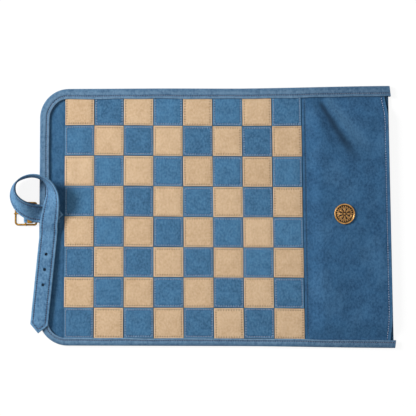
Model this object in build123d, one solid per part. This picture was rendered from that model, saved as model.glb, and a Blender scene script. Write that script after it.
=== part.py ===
from build123d import *
from math import acos, atan2, cos, degrees, radians, sin, sqrt
import os

# Roll-up chess set: a leather mat with sewn-on squares, an edge binding, a snap-closed
# pocket at one end, and a strap with a buckle at the other end.
# Millimetres. +X runs along the roll towards the pocket, +Y across it, +Z up.
# Heights below count from the surface that the mat lies on. Saved shapes are lowered, so that
# the origin is the centre of the playing field, on the upper face of the squares.

# Playing field
columns = 8
rows = 8
square_x = 35.7
square_y = 36.5
seam_gap = 0.4
patch_thickness = 1.4
patch_edge = 0.35

# Mat
base_thickness = 1.4
left_margin = 30.4
upper_border = 7.2
lower_border = 8.9
corner_radius = 35.0
body_gap = 0.2
overcut = 1.0

# Binding, folded round the edge of the mat
binding_thickness = 1.2
binding_left = 11.8
binding_upper = 12.7
binding_lower = 9.3
binding_round = 1.1
binding_end = 2.0

# Pocket
pocket_length = 104.0
pocket_gap = 0.7
pocket_middle_length = 36.4
pocket_leather = 1.4
pocket_rise = 5.4
pocket_edge_rise = 0.3
pocket_flange = 9.0
pocket_ramp = 20.0
pocket_inner_hem = 4.0
pocket_inner_hem_height = 2.4
pocket_inner_slope = 20.0
pocket_mouth_hem = 5.0
pocket_mouth_hem_extra = 0.8
pocket_mouth_inset = 0.8
pocket_corner_run = 32.0
pocket_corner_upper = 4.4
pocket_corner_lower = 2.6

# Snap fastener
snap_offset = 48.6
snap_y = 1.9
snap_patch_border = 1.4
cap_radius = 12.3
cap_height = 2.3
cap_rim = 1.7
cap_groove = 1.0
post_radius = 2.0
post_clearance = 0.15
socket_radius = 6.2
socket_height = 2.8
socket_wall = 1.6
stud_flange_radius = 5.8
stud_flange_height = 0.9
stud_radius = 2.9
stud_clearance = 0.12
stud_engagement = 1.5
rivet_head_radius = 5.0
rivet_head_height = 0.8
tube_wall = 0.6
tube_gap = 0.05
snap_round = 0.3

# Strap
strap_width = 21.5
strap_thickness = 2.2
strap_point = 10.2
strap_rest_gap = 0.25
strap_holes = 3
strap_hole_radius = 1.5
strap_hole_pitch = 18.4
strap_first_hole = 24.6
tail_length = 119.5
tail_offset = 12.0
tail_bend = 10.55
tail_heading = -95.6

# Buckle and its tab
tab_thickness = 1.2
tab_inner_offset = 25.2
tab_lap_end = 9.2
bar_offset = 16.4
buckle_y = 2.9
bar_radius = 1.0
bar_clearance = 0.15
bar_height = 3.1
frame_wire = 1.2
frame_reach = 12.6
frame_side_room = 1.25
frame_drop = 1.6
frame_corner_outer = 3.6
frame_corner_inner = 2.2
boss_radius = 1.7
boss_length = 2.6
prong_wire = 0.8
prong_overhang = 1.6
prong_slot = 3.0
keeper_width = 5.2
keeper_wall = 0.6
keeper_offset = 5.4
keeper_bottom = 0.1
keeper_room = 2.3

# Levels and edges that follow from the sizes above
base_bottom = binding_thickness
base_top = base_bottom + base_thickness
patch_top = base_top + patch_thickness
binding_top = patch_top + binding_thickness

field_left = -columns * square_x / 2
field_right = columns * square_x / 2
field_lower = -rows * square_y / 2
field_upper = rows * square_y / 2
mat_left = field_left - left_margin
mat_lower = field_lower - lower_border
mat_upper = field_upper + upper_border
pocket_left = field_right + pocket_gap
mat_right = pocket_left + pocket_length

snap_x = pocket_left + snap_offset
snap_patch = pocket_middle_length - 2 * snap_patch_border
panel_top = base_top + pocket_rise + pocket_leather
middle_left = snap_x - pocket_middle_length / 2
middle_right = snap_x + pocket_middle_length / 2

body_names = (
    ["edge_flap"]
    + [f"column_{i}" for i in range(2, columns + 1)]
    + ["pocket_inner", "pocket_middle", "pocket_mouth"]
)
body_edges = (
    [mat_left]
    + [field_left + i * square_x for i in range(1, columns)]
    + [(field_right + pocket_left) / 2]
    + [middle_left, middle_right, mat_right]
)

os.makedirs("parts", exist_ok=True)


def save(name, *solids):
    placed = [Pos(0, 0, -patch_top) * solid for solid in solids]
    shape = placed[0] if len(placed) == 1 else Compound(children=placed)
    export_step(shape, f"parts/{name}.step")


def block(x0, x1, y0, y1, z0, z1):
    return Pos((x0 + x1) / 2, (y0 + y1) / 2, (z0 + z1) / 2) * Box(x1 - x0, y1 - y0, z1 - z0)


def between(shape, x0, x1):
    return shape & block(x0, x1, 2 * mat_lower, 2 * mat_upper, 2 * mat_lower, 2 * mat_upper)


def mat_outline(left, right, lower, upper, radius):
    """Face of a rectangle whose two left corners are round."""
    outline = Polyline(
        (left + radius, upper), (right, upper), (right, lower), (left + radius, lower)
    )
    lower_corner = RadiusArc((left + radius, lower), (left, lower + radius), radius)
    side = Line((left, lower + radius), (left, upper - radius))
    upper_corner = RadiusArc((left, upper - radius), (left + radius, upper), radius)
    return make_face([*outline.edges(), lower_corner, side, upper_corner])


def slab(face, z0, z1):
    return Pos(0, 0, z0) * extrude(face, z1 - z0)


# Base sheet, cut where the mat bends
base_face = mat_outline(
    mat_left + binding_thickness,
    mat_right,
    mat_lower + binding_thickness,
    mat_upper - binding_thickness,
    corner_radius - binding_thickness,
)
base_sheet = slab(base_face, base_bottom, base_top)
rivet_hole = Pos(snap_x, snap_y, base_bottom + base_thickness / 2) * Cylinder(
    post_radius + post_clearance, 2 * base_thickness
)
cut_base = base_sheet - rivet_hole

for name, x0, x1 in zip(body_names, body_edges, body_edges[1:]):
    start = x0 if name == body_names[0] else x0 + body_gap / 2
    end = x1 if name == body_names[-1] else x1 - body_gap / 2
    save(f"base_{name}", between(cut_base, start, end))


# Squares: one thin leather patch each, with eased upper edges
def patch(column, row):
    x = field_left + (column - 0.5) * square_x
    y = field_upper - (row - 0.5) * square_y
    body = Pos(x, y, base_top + patch_thickness / 2) * Box(
        square_x - seam_gap, square_y - seam_gap, patch_thickness
    )
    return chamfer(body.faces().sort_by(Axis.Z)[-1].edges(), patch_edge)


for column in range(1, columns + 1):
    tan = [patch(column, row) for row in range(1, rows + 1) if (column + row) % 2 == 0]
    blue = [patch(column, row) for row in range(1, rows + 1) if (column + row) % 2 == 1]
    save(f"tan_squares_column_{column}", *tan)
    save(f"blue_squares_column_{column}", *blue)


# Front panel of the pocket: sewn down along both sides and its inner edge, arched between
def panel_section(x, rise):
    """Section of the panel across the roll, at x, whose middle is raised."""
    upper = field_upper - binding_thickness
    lower = mat_lower + binding_thickness
    foot_u, foot_l = upper - pocket_flange, lower + pocket_flange
    half = pocket_ramp / 2
    radius = (half**2 + (rise / 2) ** 2) / rise
    sink = radius - sqrt(radius**2 - (sqrt(half**2 + (rise / 2) ** 2) / 2) ** 2)

    def bend(a, b, up):
        across = (b - a).cross(Vector(1, 0, 0)).normalized()
        across = across if (across.Z > 0) == up else across * -1
        return ThreePointArc(a, (a + b) / 2 + across * sink, b)

    def skin(z):
        points = [
            (upper, z),
            (foot_u, z),
            (foot_u - half, z + rise / 2),
            (foot_u - pocket_ramp, z + rise),
            (foot_l + pocket_ramp, z + rise),
            (foot_l + half, z + rise / 2),
            (foot_l, z),
            (lower, z),
        ]
        at = [Vector(x, y, level) for y, level in points]
        edges = [
            Line(at[0], at[1]),
            bend(at[1], at[2], False),
            bend(at[2], at[3], True),
            Line(at[3], at[4]),
            bend(at[4], at[5], True),
            bend(at[5], at[6], False),
            Line(at[6], at[7]),
        ]
        return at, edges

    low, low_edges = skin(base_top)
    high, high_edges = skin(base_top + pocket_leather)
    sides = [Line(low[0], high[0]), Line(low[-1], high[-1])]
    return Face(Wire([*low_edges, sides[1], *high_edges, sides[0]]))


def panel_stretch(x0, rise0, x1, rise1):
    return loft([panel_section(x0, rise0), panel_section(x1, rise1)], ruled=True)


slope_start = pocket_left + pocket_inner_hem
slope_end = slope_start + pocket_inner_slope
front_edge = mat_right - pocket_mouth_inset
inner_flat = panel_stretch(pocket_left, pocket_edge_rise, slope_start, pocket_edge_rise)
inner_rise = panel_stretch(slope_start, pocket_edge_rise, slope_end, pocket_rise)
full_rise = panel_stretch(slope_end, pocket_rise, front_edge, pocket_rise)
panel = inner_flat + inner_rise + full_rise

hem_low = mat_lower + binding_lower + seam_gap
hem_high = mat_upper - binding_upper - seam_gap
inner_hem = block(
    pocket_left, slope_start, hem_low, hem_high, base_top, base_top + pocket_inner_hem_height
)
inner_hem = fillet(inner_hem.edges().filter_by(Axis.Y).group_by(Axis.Z)[-1], pocket_leather / 2)
hem_reach = pocket_flange + pocket_ramp
mouth_hem = block(
    front_edge - pocket_mouth_hem,
    front_edge,
    mat_lower + hem_reach,
    field_upper - hem_reach,
    base_top + pocket_rise - pocket_mouth_hem_extra,
    base_top + pocket_rise,
)
panel = panel + inner_hem + mouth_hem


def drawn_corner(side, inward, drawn):
    """Wedge by which the mouth edge of the panel is drawn in towards one side of the mat."""
    wedge = Polyline(
        (front_edge, side + inward * pocket_corner_run),
        (front_edge - drawn, side),
        (mat_right + overcut, side - inward * overcut),
        (mat_right + overcut, side + inward * pocket_corner_run),
        close=True,
    )
    return slab(make_face(wedge), base_bottom, panel_top + overcut)


panel = panel - drawn_corner(field_upper, -1, pocket_corner_upper)
panel = panel - drawn_corner(mat_lower, 1, pocket_corner_lower)
post_hole = Pos(snap_x, snap_y, base_top + pocket_rise + pocket_leather / 2) * Cylinder(
    post_radius + post_clearance, 2 * pocket_leather
)
panel = panel - post_hole


def snap_square(size):
    return Pos(snap_x, snap_y, panel_top) * Box(size, size, 2 * pocket_rise)


front_start = body_edges[-4]
save("pocket_front_inner", between(panel, front_start, middle_left - body_gap / 2))
save(
    "pocket_front_middle",
    between(panel, middle_left + body_gap / 2, middle_right - body_gap / 2)
    - snap_square(snap_patch + body_gap),
)
save("pocket_front_mouth", between(panel, middle_right + body_gap / 2, mat_right))

# The square of the panel that the cap grips, which bulges when the snap is pulled open
save("pocket_front_snap_patch", panel & snap_square(snap_patch))


# Buckle tab: one strip of leather that is folded round the bar of the buckle.
# It enters the mat between the base sheet and the binding.
bar_x = mat_left - bar_offset
tab_inner_end = mat_left + tab_inner_offset
frame_half_width = strap_width / 2 + frame_side_room + frame_wire
fold_inner = bar_radius + bar_clearance
fold_outer = fold_inner + tab_thickness
rear_bar_top = bar_height - frame_drop + frame_wire
tab_over_rear = rear_bar_top + bar_clearance
rear_x = bar_x + frame_reach


def tab_section():
    y = buckle_y - strap_width / 2
    top = [
        (bar_x, bar_height + fold_outer),
        (rear_x + frame_wire / 2, tab_over_rear + tab_thickness),
        (mat_left - bar_clearance, base_top + tab_thickness),
        (tab_inner_end, base_top + tab_thickness),
        (tab_inner_end, base_top),
        (mat_left - bar_clearance, base_top),
        (rear_x + frame_wire / 2, tab_over_rear),
        (bar_x, bar_height + fold_inner),
    ]
    climb = (tab_over_rear - bar_height - fold_inner) / (rear_x + frame_wire / 2 - bar_x)
    lap_level = bar_height + fold_inner + climb * tab_lap_end - strap_rest_gap
    bottom = [
        (bar_x, bar_height - fold_inner),
        (bar_x + tab_lap_end, lap_level),
        (bar_x + tab_lap_end, lap_level - tab_thickness),
        (bar_x, bar_height - fold_outer),
    ]

    def at(point):
        return Vector(point[0], y, point[1])

    inner_fold = ThreePointArc(
        at(top[-1]), at((bar_x - fold_inner, bar_height)), at(bottom[0])
    )
    outer_fold = ThreePointArc(
        at(bottom[-1]), at((bar_x - fold_outer, bar_height)), at(top[0])
    )
    upper = [Line(at(a), at(b)) for a, b in zip(top, top[1:])]
    lower = [Line(at(a), at(b)) for a, b in zip(bottom, bottom[1:])]
    return Face(Wire([*upper, inner_fold, *lower, outer_fold]))


tab = extrude(tab_section(), amount=strap_width, dir=(0, 1, 0))
slot_end = bar_x + bar_radius + 2 * prong_wire + 2 * bar_clearance
tab = tab - block(
    bar_x - 2 * fold_outer,
    slot_end,
    buckle_y - prong_slot / 2,
    buckle_y + prong_slot / 2,
    bar_height - 2 * fold_outer,
    bar_height + 2 * fold_outer,
)
save("buckle_tab", tab)


# Binding: a leather strip folded over the edge of the mat, upper and lower leg in one.
# It wraps the base sheet, the outer squares, the sides of the pocket and the tab.
binding_right = mat_right + binding_end
outer_face = mat_outline(mat_left, binding_right, mat_lower, mat_upper, corner_radius)
inner_face = mat_outline(
    mat_left + binding_left,
    binding_right + binding_left,
    mat_lower + binding_lower,
    mat_upper - binding_upper,
    corner_radius - binding_left,
)
shell = slab(outer_face, 0, binding_top)
long_edges = [
    edge
    for edge in shell.edges()
    if abs(edge.center().Z - binding_top / 2) > binding_top / 3
    and edge.center().X < binding_right - overcut
]
shell = fillet(long_edges, binding_round)
binding = shell - slab(inner_face, -overcut, binding_top + overcut)
binding = binding - slab(base_face, base_bottom, base_top)
binding = binding - block(
    mat_right - overcut,
    binding_right + overcut,
    mat_lower + binding_thickness,
    mat_upper - binding_thickness,
    base_bottom,
    patch_top,
)
binding = binding - block(field_left, pocket_left, field_lower, field_upper, base_top, patch_top)
binding = binding - block(
    pocket_left - pocket_gap,
    binding_right + overcut,
    mat_lower + binding_thickness,
    field_upper - binding_thickness,
    base_top,
    patch_top,
)
binding = binding - block(
    mat_left - overcut,
    mat_left + binding_left + overcut,
    buckle_y - strap_width / 2,
    buckle_y + strap_width / 2,
    base_top,
    base_top + tab_thickness,
)

for name, x0, x1 in zip(body_names, body_edges, body_edges[1:]):
    start = x0 - overcut if name == body_names[0] else x0 + body_gap / 2
    end = x1 + 2 * binding_end if name == body_names[-1] else x1 - body_gap / 2
    save(f"binding_{name}", *between(binding, start, end).solids().sort_by(Axis.Y))


# Strap: sewn to the margin at a pointed root, it leaves the mat, rises over the buckle,
# stands on its edge in one open loop, turns over and comes back across its own root.
# Each station: x, y, height of the middle line, and the lean of the width from level.
half = strap_width / 2
on_margin = base_top + tab_thickness + strap_rest_gap + strap_thickness / 2
on_binding = binding_top + strap_rest_gap + strap_thickness / 2
over_root = on_binding + strap_thickness + 2 * strap_rest_gap
root_tip = (field_left - 0.8, 1.3)
tail_start = (mat_left + tail_offset, -half - tail_bend)


def leaning(x, y, lower_edge, lean):
    """Station whose lower edge is at this height."""
    return (mat_left + x, y, lower_edge + half * sin(radians(lean)), lean)


root_stations = [
    (root_tip[0] - strap_point, 2.0, on_margin, 0),
    (mat_left + 17.2, 2.2, on_margin + 0.15, 0),
    (mat_left + 12.3, 2.6, on_binding + 0.1, 0),
    (mat_left + 6.4, 2.8, on_binding + 0.15, 0),
    leaning(0.7, 3.1, on_binding, 2),
    leaning(-4.9, 4.0, binding_top + 3.7, 10),
    leaning(-10.9, 6.0, binding_top + 6.1, 22),
    leaning(-17.0, 9.2, binding_top + 6.5, 34),
    leaning(-24.3, 15.6, binding_top + 5.3, 47),
    leaning(-29.0, 24.2, binding_top + 2.6, 59),
    leaning(-29.4, 32.1, binding_top + 0.2, 67),
    leaning(-26.7, 39.0, binding_top - 1.2, 76),
    leaning(-20.1, 44.1, binding_top - 1.7, 85),
    leaning(-10.8, 47.1, binding_top - 1.0, 90),
    leaning(-1.3, 46.8, binding_top + 0.5, 96),
    leaning(7.4, 43.5, binding_top + 1.4, 104),
    leaning(13.3, 38.2, binding_top + 1.9, 115),
    leaning(16.6, 31.7, binding_top + 2.6, 129),
    leaning(17.9, 24.0, binding_top + 3.8, 142),
    leaning(17.3, 15.7, binding_top + 4.9, 155),
    leaning(15.4, 6.7, over_root - 0.2, 168),
    leaning(13.5, -3.4, over_root - 0.1, 178),
    leaning(12.4, -11.6, over_root - 0.9, 180),
]


def strap_plane(point, direction, lean):
    """Plane across the strap: its x runs along the width, its z along the strap."""
    side = Vector(direction.Y, -direction.X, 0).normalized()
    up = side.cross(direction).normalized()
    width = side * cos(radians(lean)) + up * sin(radians(lean))
    return Plane(origin=point, x_dir=width, z_dir=direction)


places = [Vector(x, y, z) for x, y, z, lean in root_stations]
places.append(Vector(*tail_start, on_binding))
leans = [lean for x, y, z, lean in root_stations] + [180]
heading = Vector(cos(radians(tail_heading)), sin(radians(tail_heading)), 0)
runs = [(b - a).length for a, b in zip(places, places[1:])]
distances = [sum(runs[:i]) for i in range(len(places))]
shares = [distance / distances[-1] for distance in distances]
path = Edge.make_spline(
    places, tangents=[(-1, 0.03, 0), heading], parameters=distances, scale=False
)
sections = []
for i, (share, lean) in enumerate(zip(shares, leans)):
    sections.append((share, lean))
    if i + 1 < len(shares):
        sections.append(((share + shares[i + 1]) / 2, (lean + leans[i + 1]) / 2))
band = loft(
    [
        strap_plane(path @ share, path % share, lean) * Rectangle(strap_width, strap_thickness)
        for share, lean in sections
    ],
    ruled=True,
)
tip_start = root_stations[0]
root_point = extrude(
    make_face(
        Polyline(
            (tip_start[0], tip_start[1] + half),
            (root_tip[0], root_tip[1]),
            (tip_start[0], tip_start[1] - half),
            close=True,
        )
    ),
    strap_thickness,
)
root_point = Pos(0, 0, on_margin - strap_thickness / 2) * root_point
save("strap", band + root_point)

# Free end of the strap, with its holes for the prong
tail_outline = Polyline(
    (0, -half),
    (tail_length - strap_point, -half),
    (tail_length, 0),
    (tail_length - strap_point, half),
    (0, half),
    close=True,
)
tail = extrude(make_face(tail_outline), strap_thickness)
for i in range(strap_holes):
    tail = tail - Pos(strap_first_hole + i * strap_hole_pitch, 0, 0) * Cylinder(
        strap_hole_radius, 4 * strap_thickness
    )
tail = Pos(*tail_start, on_binding - strap_thickness / 2) * Rot(0, 0, tail_heading) * tail
tail = tail - Pos(*tail_start, on_binding) * Rot(0, 0, tail_heading) * Box(
    body_gap, 2 * strap_width, 2 * strap_thickness
)
save("strap_tail", tail)


# Buckle: two bent halves that drop away from a middle bar, carried in two bosses
def frame_half(side, corner):
    run = sqrt(frame_reach**2 - frame_drop**2)

    def at(along, across):
        share = along / frame_reach
        return Vector(
            bar_x + side * run * share, buckle_y + across, bar_height - frame_drop * share
        )

    wire = FilletPolyline(
        at(0, -frame_half_width),
        at(frame_reach, -frame_half_width),
        at(frame_reach, frame_half_width),
        at(0, frame_half_width),
        radius=corner,
    )
    return sweep(Plane(origin=wire @ 0, z_dir=wire % 0) * Circle(frame_wire), path=wire)


def across_bar(radius, y, length):
    return Pos(bar_x, y, bar_height) * Rot(90, 0, 0) * Cylinder(radius, length)


frame = frame_half(-1, frame_corner_outer) + frame_half(1, frame_corner_inner)
frame = frame + across_bar(bar_radius, buckle_y, 2 * frame_half_width)
for side in (-1, 1):
    frame = frame + across_bar(boss_radius, buckle_y + side * frame_half_width, boss_length)
save("buckle_frame", frame)


# Prong: an eye bent round the bar and a shank that rests on the outer bar of the frame
eye = bar_radius + bar_clearance + prong_wire
rest_x = -sqrt(frame_reach**2 - frame_drop**2)
rest_z = -frame_drop + frame_wire + prong_wire + bar_clearance
reach = sqrt(rest_x**2 + rest_z**2)
leave = degrees(atan2(rest_z, rest_x) - acos(eye / reach))


def on_eye(angle):
    return Vector(
        bar_x + eye * cos(radians(angle)), buckle_y, bar_height + eye * sin(radians(angle))
    )


eye_start = leave - 250
shank_direction = Vector(-sin(radians(leave)), 0, cos(radians(leave)))
shank_length = sqrt(reach**2 - eye**2) + prong_overhang
prong_path = Wire(
    [
        ThreePointArc(on_eye(eye_start), on_eye((eye_start + leave) / 2), on_eye(leave)),
        Line(on_eye(leave), on_eye(leave) + shank_direction * shank_length),
    ]
)
prong = sweep(
    Plane(origin=prong_path @ 0, z_dir=prong_path % 0) * Circle(prong_wire), path=prong_path
)
save("buckle_prong", prong)


# Keeper: a flat metal loop round the tab that holds the free end of the strap
keeper_x = bar_x + keeper_offset
keeper_half = strap_width / 2 + bar_clearance + keeper_wall
tab_fall = (bar_height + fold_outer - tab_over_rear - tab_thickness) / frame_reach
keeper_top = bar_height + fold_outer - tab_fall * keeper_offset + keeper_room + keeper_wall
keeper = block(
    keeper_x - keeper_width / 2,
    keeper_x + keeper_width / 2,
    buckle_y - keeper_half,
    buckle_y + keeper_half,
    keeper_bottom,
    keeper_top,
)
keeper = fillet(keeper.edges().filter_by(Axis.X), 2 * keeper_wall)
opening = block(
    keeper_x - keeper_width,
    keeper_x + keeper_width,
    buckle_y - keeper_half + keeper_wall,
    buckle_y + keeper_half - keeper_wall,
    keeper_bottom + keeper_wall,
    keeper_top - keeper_wall,
)
opening = fillet(opening.edges().filter_by(Axis.X), keeper_wall)
save("strap_keeper", keeper - opening)


# Snap fastener: cap and socket grip the pocket panel, stud and rivet grip the base sheet
def turned(profile):
    face = make_face(Plane.XZ * Polyline(*profile, close=True))
    return Pos(snap_x, snap_y, 0) * revolve(face, axis=Axis.Z)


post_end = base_top + pocket_rise - socket_height + socket_wall
cap_top = panel_top + cap_height
rim_inner = cap_radius - cap_rim
groove_inner = rim_inner - cap_groove
cap_profile = [
    (0, post_end),
    (post_radius, post_end),
    (post_radius, panel_top),
    (cap_radius - snap_round, panel_top),
    (cap_radius, panel_top + snap_round),
    (cap_radius, panel_top + 0.6 * cap_height),
    (cap_radius - 0.3 * cap_rim, cap_top - 0.6 * snap_round),
    (cap_radius - 0.5 * cap_rim, cap_top),
    (rim_inner, cap_top - snap_round),
    (rim_inner - 0.2 * cap_groove, cap_top - cap_groove),
    (groove_inner, cap_top - cap_groove),
    (groove_inner - snap_round, cap_top - cap_groove / 2),
    (groove_inner / 2, cap_top - cap_groove / 4),
    (0, cap_top - cap_groove / 8),
]
save("snap_cap", turned(cap_profile))

socket_bottom = base_top + pocket_rise - socket_height
socket_bore = stud_radius + stud_clearance
socket_profile = [
    (post_radius + tube_gap, post_end),
    (post_radius + tube_gap, base_top + pocket_rise),
    (socket_radius - snap_round, base_top + pocket_rise),
    (socket_radius, base_top + pocket_rise - snap_round),
    (socket_radius, socket_bottom + snap_round),
    (socket_radius - snap_round, socket_bottom),
    (socket_bore, socket_bottom),
    (socket_bore, post_end),
]
save("snap_socket", turned(socket_profile))

stud_top = socket_bottom + stud_engagement
stud_profile = [
    (post_radius - tube_wall, base_top),
    (stud_flange_radius - snap_round, base_top),
    (stud_flange_radius, base_top + snap_round),
    (stud_flange_radius - snap_round, base_top + stud_flange_height),
    (stud_radius - 2 * snap_round, base_top + stud_flange_height + snap_round / 2),
    (stud_radius - 2 * snap_round, socket_bottom + snap_round),
    (stud_radius, socket_bottom + 2 * snap_round),
    (stud_radius, stud_top - snap_round),
    (stud_radius - 2 * snap_round, stud_top),
    (post_radius - tube_wall, stud_top),
]
save("snap_stud", turned(stud_profile))

rivet_profile = [
    (0, base_bottom - rivet_head_height),
    (rivet_head_radius - snap_round, base_bottom - rivet_head_height),
    (rivet_head_radius, base_bottom - snap_round),
    (rivet_head_radius, base_bottom),
    (post_radius, base_bottom),
    (post_radius, base_top - tube_gap),
    (post_radius - tube_wall - tube_gap, base_top - tube_gap),
    (post_radius - tube_wall - tube_gap, stud_top - snap_round),
    (0, stud_top - snap_round),
]
save("snap_rivet", turned(rivet_profile))
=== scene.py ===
import math

import bpy
import numpy as np
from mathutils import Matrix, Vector


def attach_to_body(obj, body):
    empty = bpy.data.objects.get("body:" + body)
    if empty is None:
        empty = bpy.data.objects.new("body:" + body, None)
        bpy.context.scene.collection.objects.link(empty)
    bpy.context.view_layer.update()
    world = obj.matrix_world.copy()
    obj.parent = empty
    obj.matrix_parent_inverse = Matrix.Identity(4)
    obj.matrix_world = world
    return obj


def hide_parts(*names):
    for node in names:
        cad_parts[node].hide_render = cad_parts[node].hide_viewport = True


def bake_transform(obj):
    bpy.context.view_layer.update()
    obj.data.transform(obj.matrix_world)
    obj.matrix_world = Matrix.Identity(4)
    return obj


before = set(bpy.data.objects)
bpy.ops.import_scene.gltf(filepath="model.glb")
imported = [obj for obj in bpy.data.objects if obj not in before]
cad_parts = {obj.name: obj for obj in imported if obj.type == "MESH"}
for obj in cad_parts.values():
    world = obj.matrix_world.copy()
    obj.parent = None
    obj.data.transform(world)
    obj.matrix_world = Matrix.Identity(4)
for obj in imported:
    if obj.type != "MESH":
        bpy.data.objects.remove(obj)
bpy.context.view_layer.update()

# Roll-up chess set in suede: a sewn mat with a snap pocket, a strap and a buckle.
# Lengths here are millimetres; a piece's points are turned into metres when it is made.
scene = bpy.context.scene
for name in ("Cube", "Light", "Camera"):
    if name in bpy.data.objects:
        bpy.data.objects.remove(bpy.data.objects[name])
mm = 0.001

studio = {
    "cameraPlace": (0.0777, -0.0541, 1.3), "cameraTurn": (2.797, 2.104, 0.014), "lens": 94.26,
    "clip": (0.01, 50), "worldLight": 0.4,
    "keyPlace": (-1.6, 0.62, 1.2), "keyAim": (0.02, 0.0, 0.0), "keyPower": 39.0, "keySize": 0.6,
    "floorLevel": -4.05, "floorHalf": 9, "floorGrey": 0.15, "floorGlow": 0.89, "floorLit": 0.6,
}


# A new object of this data, linked to the scene.
def placed(name, data):
    obj = bpy.data.objects.new(name, data)
    scene.collection.objects.link(obj)
    return obj


camera = placed("camera", bpy.data.cameras.new("camera"))
camera.location = studio["cameraPlace"]
camera.rotation_euler = [math.radians(a) for a in studio["cameraTurn"]]
camera.data.lens = studio["lens"]
camera.data.clip_start, camera.data.clip_end = studio["clip"]
scene.camera = camera
scene.view_settings.view_transform = "Standard"

lamp = placed("key", bpy.data.lights.new("key", "AREA"))
lamp.data.energy, lamp.data.size = studio["keyPower"], studio["keySize"]
lamp.location = studio["keyPlace"]
keyWay = Vector(studio["keyAim"]) - lamp.location
lamp.rotation_euler = keyWay.to_track_quat("-Z", "Y").to_euler()


# A material's or the world's node tree, emptied, with short ways to add and join nodes.
class Nodes:
    def __init__(self, tree):
        self.tree = tree
        tree.nodes.clear()

    # One node with its settings; feeds says which socket or value goes into which input.
    def add(self, kind, feeds=None, **settings):
        node = self.tree.nodes.new(kind)
        for key, value in settings.items():
            setattr(node, key, value)
        for key, value in (feeds or {}).items():
            if isinstance(value, bpy.types.NodeSocket):
                self.tree.links.new(value, node.inputs[key])
            else:
                node.inputs[key].default_value = value
        return node

    # a and b put through the named operation, kept between 0 and 1 where clamp says so.
    def math(self, operation, a, b, clamp=False):
        return self.add("ShaderNodeMath", {0: a, 1: b}, operation=operation, use_clamp=clamp).outputs[0]

    # a plus b.
    def plus(self, a, b, clamp=False):
        return self.math("ADD", a, b, clamp)

    # a minus b.
    def less(self, a, b):
        return self.math("SUBTRACT", a, b)

    # a times b.
    def times(self, a, b):
        return self.math("MULTIPLY", a, b)

    # Colour a where share is 0, colour b where it is 1.
    def blend(self, share, a, b):
        return self.add("ShaderNodeMix", {0: share, 6: a, 7: b}, data_type="RGBA").outputs[2]

    # Shader a where share is 0, shader b where it is 1.
    def choose(self, share, a, b):
        return self.add("ShaderNodeMixShader", {0: share, 1: a, 2: b}).outputs[0]

    # 0 at low, 1 at high, straight between.
    def spread(self, value, low, high):
        return self.add("ShaderNodeMapRange", {0: value, 1: low, 2: high}, clamp=True).outputs[0]

    # Fractal noise about 0.5, its pattern's places first scaled along each axis.
    def noise(self, where, scale, detail, rough, stretch=None):
        if stretch:
            where = self.add("ShaderNodeMapping", {0: where, "Scale": stretch}).outputs[0]
        feeds = {"Vector": where, "Scale": scale, "Detail": detail, "Roughness": rough}
        return self.add("ShaderNodeTexNoise", feeds).outputs[0]

    # The number that the mesh carries under this name at each point.
    def mark(self, label):
        return self.add("ShaderNodeAttribute", attribute_name=label).outputs["Fac"]

    # A normal tilted by the slope of height, which is in units of distance.
    def bump(self, height, strength, distance):
        feeds = {"Height": height, "Strength": strength, "Distance": distance}
        return self.add("ShaderNodeBump", feeds).outputs[0]


# sRGB, 0 to 255, as the linear colour that a node takes: over 12.92 near black, a power of 2.4 above.
def linear(colour):
    c = np.array(colour, float) / 255
    c = np.where(c <= 0.04045, c / 12.92, ((c + 0.055) / 1.055) ** 2.4)
    return (*c.tolist(), 1.0)


# A grey of this value, which is linear already.
def grey(value):
    return (value, value, value, 1)


# A new material and its empty node tree.
def newPaint(name):
    paint = bpy.data.materials.new(name)
    paint.use_nodes = True
    return paint, Nodes(paint.node_tree)


# 1 where the camera, a reflection or a view through glass meets this surface: the sum of the three.
def seenDirectly(kit):
    path = kit.add("ShaderNodeLightPath").outputs
    seen = kit.plus(path["Is Camera Ray"], path["Is Glossy Ray"])
    return kit.plus(seen, path["Is Transmission Ray"], clamp=True)


# Floor: seen directly, a white glow plus a dark grey that takes the shadow; to other light a mid grey.
def floorPaint():
    paint, kit = newPaint("paleFloor")
    shaded = kit.add("ShaderNodeBsdfDiffuse", {0: grey(studio["floorGrey"])}).outputs[0]
    glow = kit.add("ShaderNodeEmission", {0: grey(1), 1: studio["floorGlow"]}).outputs[0]
    seen = kit.add("ShaderNodeAddShader", {0: shaded, 1: glow}).outputs[0]
    lit = kit.add("ShaderNodeBsdfDiffuse", {0: grey(studio["floorLit"])}).outputs[0]
    kit.add("ShaderNodeOutputMaterial", {0: kit.choose(seenDirectly(kit), lit, seen)})
    return paint


floorMesh = bpy.data.meshes.new("floor")
floorLevel, half = studio["floorLevel"] * mm, studio["floorHalf"]
floorMesh.from_pydata([(-half, -half, floorLevel), (half, -half, floorLevel), (half, half, floorLevel),
                       (-half, half, floorLevel)], [], [(0, 1, 2, 3)])
floorMesh.materials.append(floorPaint())
floorPiece = placed("floor", floorMesh)

scene.world = bpy.data.worlds.new("studio")
scene.world.use_nodes = True
worldKit = Nodes(scene.world.node_tree)
lightOnly = worldKit.add("ShaderNodeBackground", {0: grey(1), 1: studio["worldLight"]}).outputs[0]
backdrop = worldKit.add("ShaderNodeBackground", {0: grey(1)}).outputs[0]
worldKit.add("ShaderNodeOutputWorld", {0: worldKit.choose(seenDirectly(worldKit), lightOnly, backdrop)})
print("stage: camera, light and floor are set")


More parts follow.
